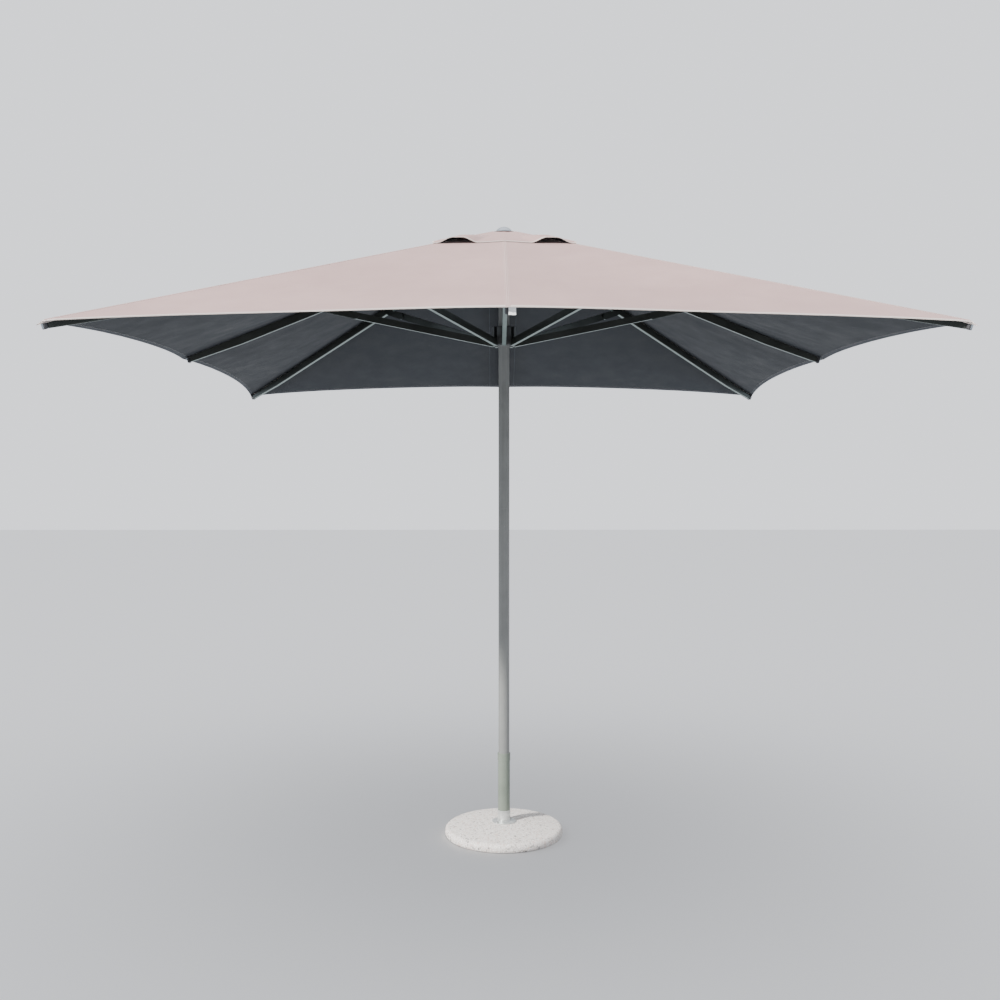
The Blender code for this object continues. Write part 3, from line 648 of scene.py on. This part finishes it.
def makeCap(tag, panel, inner):
    share = ventCap["halfSide"] / midTip.x
    small = dict(panel, own=panel["own"] * share, other=panel["other"] * share)
    rays = hemRays(small, ventCap["columns"], 0.0)
    verts, uvs = [], []
    for r in range(ventCap["rows"]):
        part = r / (ventCap["rows"] - 1)
        for angle, length in rays:
            distance = inner + (length - inner) * part
            extra = capHeight(panel, angle, distance, length)
            verts.append(clothPoint(panel, angle, distance, extra))
            uvs.append(clothUv(angle, distance))
    cap = newPiece(f"ventCap{tag}", verts, gridFaces(ventCap["rows"], len(rays)), uvs)
    outerUp(cap, panel)
    for name in ("outerCloth", "paintedShadeInnerCloth", "hemCloth"):
        cap.data.materials.append(looks[name])
    thicken(cap, canopy["clothThickness"], 0.0, rim=2, under=1)

    verts, uvs, run = [], [], 0.0
    for i, (angle, length) in enumerate(rays):
        if i:
            run += length * abs(angle - rays[i - 1][0])
        for k in range(3):
            back = ventCap["hem"] * k / 2
            distance = length + 0.0008 - back
            verts.append(clothPoint(panel, angle, distance, capHeight(panel, angle, distance, length)))
            uvs.append((run, back * 1.8))
    hem = newPiece(f"ventCapHem{tag}", verts, gridFaces(len(rays), 3), uvs)
    outerUp(hem, panel)
    hem.data.materials.append(looks["hemCloth"])
    hem.data.materials.append(looks["innerSeam"])
    thicken(hem, canopy["clothThickness"] + ventCap["hemThickness"], 0.0, rim=0, under=1)
    return cap, hem, rays


def makeInnerSeamLine(tag, panel, offset):
    spots = []
    steps = canopy["tapeRows"]
    start, end = offset / tan(halfSpread) + 0.05, panel["own"] - 0.030
    for i in range(steps):
        u = start + (end - start) * i / (steps - 1)
        row = []
        for k in range(2):
            v = offset + canopy["underSeamWidth"] * (k - 0.5)
            row.append((atan2(v, u), sqrt(u * u + v * v), u, v - offset))
        spots.append(row)
    lift = -canopy["clothThickness"] / 2 - canopy["tapeThickness"]
    return stripPiece(f"underSeam{tag}", panel, spots, canopy["underSeamThickness"], lift, "innerSeam")


def makeCanopy():
    for k in range(8):
        kind = "corner" if k % 2 else "mid"
        for side, word in ((1, "left"), (-1, "right")):
            node = f"canopy_{k + 1}_{word}"
            tag = f"{k + 1}{word.capitalize()}"
            panel = panelFrame(kind, k * pi / 4, side)
            main, rays, inner = makeMainSheet(tag, panel)
            tapes = [makeSeamBand(tag, panel, inner), makeHemBand(tag, panel)]
            if k in (2, 6):
                tapes.append(makeInnerSeamLine(tag, panel, canopy["underSeamFrom"]))
            cap, capHem, capRays = makeCap(tag, panel, inner)
            for piece in [main, cap, capHem] + tapes:
                foldWith(piece, node)
            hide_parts(node)


makeCanopy()
print("canopy made")


# reinforcement round the top, under the finial
crownPatch = {
    "innerRadius": 0.030,
    "outerRadius": 0.080,
    "aboveSeam": 0.0064,
    "belowDisc": 0.0008,
    "thickness": 0.0012,
    "rings": 6,
    "steps": 64,
}


def makeCrownPatch():
    slope = atan2(-midAxis.z, midAxis.x)
    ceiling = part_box("finial_disc")[0].z - crownPatch["belowDisc"]
    verts, uvs, faces = [], [], []
    rings, steps = crownPatch["rings"], crownPatch["steps"]
    low, high = crownPatch["innerRadius"], crownPatch["outerRadius"]
    for r in range(rings):
        radius = low + (high - low) * r / (rings - 1)
        for s in range(steps):
            turn = 2 * pi * s / steps
            height = apex.z - tan(slope) * radius + crownPatch["aboveSeam"]
            verts.append((radius * cos(turn), radius * sin(turn), min(height, ceiling)))
            uvs.append((radius * cos(turn), radius * sin(turn)))
    for r in range(rings - 1):
        for s in range(steps):
            a, b = r * steps + s, r * steps + (s + 1) % steps
            faces.append((a, a + steps, b + steps, b))
    patch = newPiece("crownPatch", verts, faces, uvs)
    patch.data.materials.append(looks["outerCloth"])
    patch.data.materials.append(looks["paintedShadeInnerCloth"])
    thicken(patch, crownPatch["thickness"], 0.0, rim=0, under=1)
    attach(patch, "pole")


makeCrownPatch()


# care tag, blank
careTag = {"thickness": 0.0006, "belly": 0.004, "cornerTurn": 0.002, "rows": 14, "columns": 6}


def makeTag():
    low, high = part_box("care_tag")
    middle = (low + high) / 2
    width, height = high.x - low.x, high.z - low.z
    rows, columns = careTag["rows"], careTag["columns"]
    verts, uvs = [], []
    for r in range(rows):
        down = r / (rows - 1)
        for c in range(columns):
            side = c / (columns - 1) - 0.5
            curl = careTag["belly"] * sin(pi * down) + careTag["cornerTurn"] * down * sin(pi * side)
            verts.append((middle.x + width * side, middle.y + curl, high.z - height * down))
            uvs.append((width * side, height * down))
    tag = newPiece("blankTag", verts, gridFaces(rows, columns), uvs)
    tag.data.materials.append(looks["tagCloth"])
    thicken(tag, careTag["thickness"])
    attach(tag, "canopy_7_left")
    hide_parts("care_tag")


makeTag()


# base disc with pebbles standing proud
discLook = {
    "steps": 220,
    "rings": 34,
    "flatRadius": 0.070,
    "shoulder": 0.040,
    "rounding": 0.022,
    "foot": 0.004,           # how far below the rounded shoulder the side turns under
    "holeGap": 0.0003,
    "smoothCollar": 0.030,   # left smooth round the hole
    "roughness": 0.0011,
}


def makeDisc():
    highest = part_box("base_disc")[1]
    radius, top = highest.x, highest.z
    rounding, shoulder = discLook["rounding"], discLook["shoulder"]
    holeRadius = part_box("base_tube")[1].x + discLook["holeGap"]
    crownRun = radius - rounding - discLook["flatRadius"]
    profile = []
    for i in range(discLook["rings"]):
        away = holeRadius + (radius - rounding - holeRadius) * i / discLook["rings"]
        share = max(0.0, (away - discLook["flatRadius"]) / crownRun)
        profile.append((away, shoulder + (top - shoulder) * cos(pi / 2 * share)))
    for i in range(13):
        turn = pi / 2 * i / 12
        profile.append((radius - rounding + rounding * sin(turn), shoulder - rounding + rounding * cos(turn)))
    foot = shoulder - rounding - discLook["foot"]
    for i in range(1, 10):
        turn = pi / 2 * i / 9
        profile.append((radius - rounding * 0.5 * (1 - cos(turn)), foot * (1 - sin(turn))))
    profile.append((holeRadius, 0.0))
    profile.append((holeRadius, top))
    disc = turnedPiece("pebbledDisc", profile, discLook["steps"])
    size = stoneLook["pebbleSize"]
    for v in disc.data.vertices:
        flat = sqrt(v.co.x**2 + v.co.y**2)
        if flat < holeRadius + discLook["smoothCollar"] or v.co.z < discLook["foot"]:
            continue
        bump = noise.noise(v.co / size) + 0.6 * noise.noise(v.co / size * 2.3)
        sideways = smoothStep(radius - rounding, radius, flat)
        out = Vector((v.co.x, v.co.y, 0)).normalized() * sideways + Vector((0, 0, 1 - sideways))
        v.co += out * (bump * discLook["roughness"] - discLook["roughness"])
    disc.data.materials.append(looks["concrete"])
    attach(disc, "base")
    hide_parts("base_disc")


makeDisc()
print("base made")


# finer dome and disc for the finial
finialLook = {"steps": 72, "domeLip": 0.0015, "domeHole": 0.006, "discHole": 0.0045}


def makeFinial():
    low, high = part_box("finial_dome")
    radius, base, height = high.x, low.z, high.z - low.z
    profile = [(0.0, base + height)]
    for i in range(1, 25):
        turn = pi / 2 * i / 24
        profile.append((radius * sin(turn), base + height * cos(turn)))
    profile += [(radius - finialLook["domeLip"], base), (finialLook["domeHole"], base)]
    dome = turnedPiece("chromeDome", profile, finialLook["steps"])
    dome.data.materials.append(looks["chrome"])
    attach(dome, "pole")
    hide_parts("finial_dome")
    low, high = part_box("finial_disc")
    half, outer, hole = (high.z - low.z) / 2, high.x, finialLook["discHole"]
    profile = [(hole, high.z)]
    for i in range(9):
        turn = pi * i / 8
        profile.append((outer - half + half * sin(turn), low.z + half + half * cos(turn)))
    profile += [(hole, low.z), (hole, high.z)]
    disc = turnedPiece("finialWasher", profile, finialLook["steps"])
    disc.data.materials.append(looks["blackPlastic"])
    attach(disc, "pole")
    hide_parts("finial_disc")


makeFinial()


# finishes of the carried parts
finishes = {
    "framePaint": ["rib_", "strut_"],
    "hubPaint": ["crown_hub"],
    "polePaint": ["pole_lower", "pole_upper"],
    "tubePaint": ["base_tube", "pole_bush"],
    "galvanised": ["base_socket"],
    "zinc": ["base_bolt_", "clamp_boss", "pole_joint_sleeve", "snap_button", "finial_stud"],
    "chrome": ["runner_catch"],
    "blackPlastic": ["clamp_screw", "pole_foot_plug"],
    "runnerPlastic": ["runner"],
}


def finishFor(name):
    if name.endswith("_end_cap"):
        return "blackPlastic"
    for look, starts in finishes.items():
        if any(name.startswith(start) for start in starts):
            return look
    return None


for name, node in nodes.items():
    look = finishFor(name)
    if look:
        node.data.materials.clear()
        node.data.materials.append(looks[look])
print("finishes set")


# floor, light and camera
studio = {
    "floorSize": 60.0,
    "floorColour": (0.90, 0.90, 0.90),
    "skyColour": (0.93, 0.95, 1.0),
    "level": 0.40,           # sky strength at the horizon
    "overhead": 1.75,
    "backdrop": 1.45,
    "sideStrength": 290.0,
    "sideColour": (0.72, 0.86, 1.0),
    "sideSize": (5.0, 1.6),
    "sideFrom": (6.5, 0.8, 0.9),
    "sideTowards": (-1.0, 0.0, 2.2),
    "keyStrength": 8.0,
    "keyColour": (1.0, 0.97, 0.93),
    "keyAngle": radians(4.0),
    "keyFrom": (-0.614, -0.541, 0.574),
    "cameraDistance": 4.896,
    "cameraHeight": 1.6206,
    "cameraAside": -0.045,
    "lens": 38.42,
    "aim": 0.314,
    "shift": -0.0198,
}


def makeSky():
    # brighter overhead than at the sides, behind a plain pale backdrop
    world = bpy.data.worlds.new("studioSky")
    world.use_nodes = True
    tree = world.node_tree
    direction = addNode(tree, "ShaderNodeTexCoord").outputs["Generated"]
    overhead = addNode(tree, "ShaderNodeSeparateXYZ", {0: direction})
    strength = mathNode(tree, "MAXIMUM", overhead.outputs["Z"], 0.0)
    strength = mathNode(tree, "MULTIPLY_ADD", strength, studio["overhead"] - studio["level"], studio["level"])
    seen = addNode(tree, "ShaderNodeLightPath").outputs["Is Camera Ray"]
    unseen = mathNode(tree, "SUBTRACT", 1.0, seen)
    lighting = mathNode(tree, "MULTIPLY", strength, unseen)
    strength = mathNode(tree, "ADD", lighting, mathNode(tree, "MULTIPLY", seen, studio["backdrop"]))
    background = tree.nodes["Background"]
    background.inputs[0].default_value = (*studio["skyColour"], 1)
    tree.links.new(strength, background.inputs[1])
    bpy.context.scene.world = world


def makeStudio():
    bpy.ops.mesh.primitive_plane_add(size=studio["floorSize"])
    floor = bpy.context.object
    floor.name = "floor"
    floor.location.z = -0.0005
    floor.data.materials.append(startMaterial("floorPaint", studio["floorColour"], 0.9)[0])
    makeSky()
    key = bpy.data.lights.new("key", "SUN")
    key.energy = studio["keyStrength"]
    key.angle = studio["keyAngle"]
    key.color = studio["keyColour"]
    keyObject = bpy.data.objects.new("key", key)
    bpy.context.scene.collection.objects.link(keyObject)
    keyObject.rotation_euler = Vector(studio["keyFrom"]).to_track_quat("Z", "Y").to_euler()
    # the key lights the umbrella and leaves the floor to the sky, so no hard shadow crosses it
    lit = bpy.data.collections.new("litByKey")
    for item in bpy.data.objects:
        if item.type == "MESH" and item != floor:
            lit.objects.link(item)
    keyObject.light_linking.receiver_collection = lit

    # two wide, low lamps reach under the side panels, and leave the pole and the base alone
    litFromSides = bpy.data.collections.new("litFromSides")
    for item in lit.objects:
        if not item.name.startswith(("pole", "base", "clamp", "pebbled", "snap")):
            litFromSides.objects.link(item)
    fromX, fromY, fromZ = studio["sideFrom"]
    toX, toY, toZ = studio["sideTowards"]
    for side in (-1, 1):
        lamp = bpy.data.lights.new(f"sideLamp{side + 1}", "AREA")
        lamp.shape = "RECTANGLE"
        lamp.size, lamp.size_y = studio["sideSize"]
        lamp.energy = studio["sideStrength"]
        lamp.color = studio["sideColour"]
        lampObject = bpy.data.objects.new(f"sideLamp{side + 1}", lamp)
        bpy.context.scene.collection.objects.link(lampObject)
        lampObject.location = (side * fromX, fromY, fromZ)
        away = lampObject.location - Vector((side * toX, toY, toZ))
        lampObject.rotation_euler = away.to_track_quat("Z", "Y").to_euler()
        lampObject.light_linking.receiver_collection = litFromSides

    camera = bpy.data.cameras.new("camera")
    camera.lens = studio["lens"]
    camera.sensor_width = 36.0
    camera.shift_y = studio["shift"]
    cameraObject = bpy.data.objects.new("camera", camera)
    bpy.context.scene.collection.objects.link(cameraObject)
    cameraObject.location = (studio["cameraAside"], -studio["cameraDistance"], studio["cameraHeight"])
    cameraObject.rotation_euler = (pi / 2, 0, radians(-studio["aim"]))
    bpy.context.scene.camera = cameraObject


makeStudio()
print("studio set")
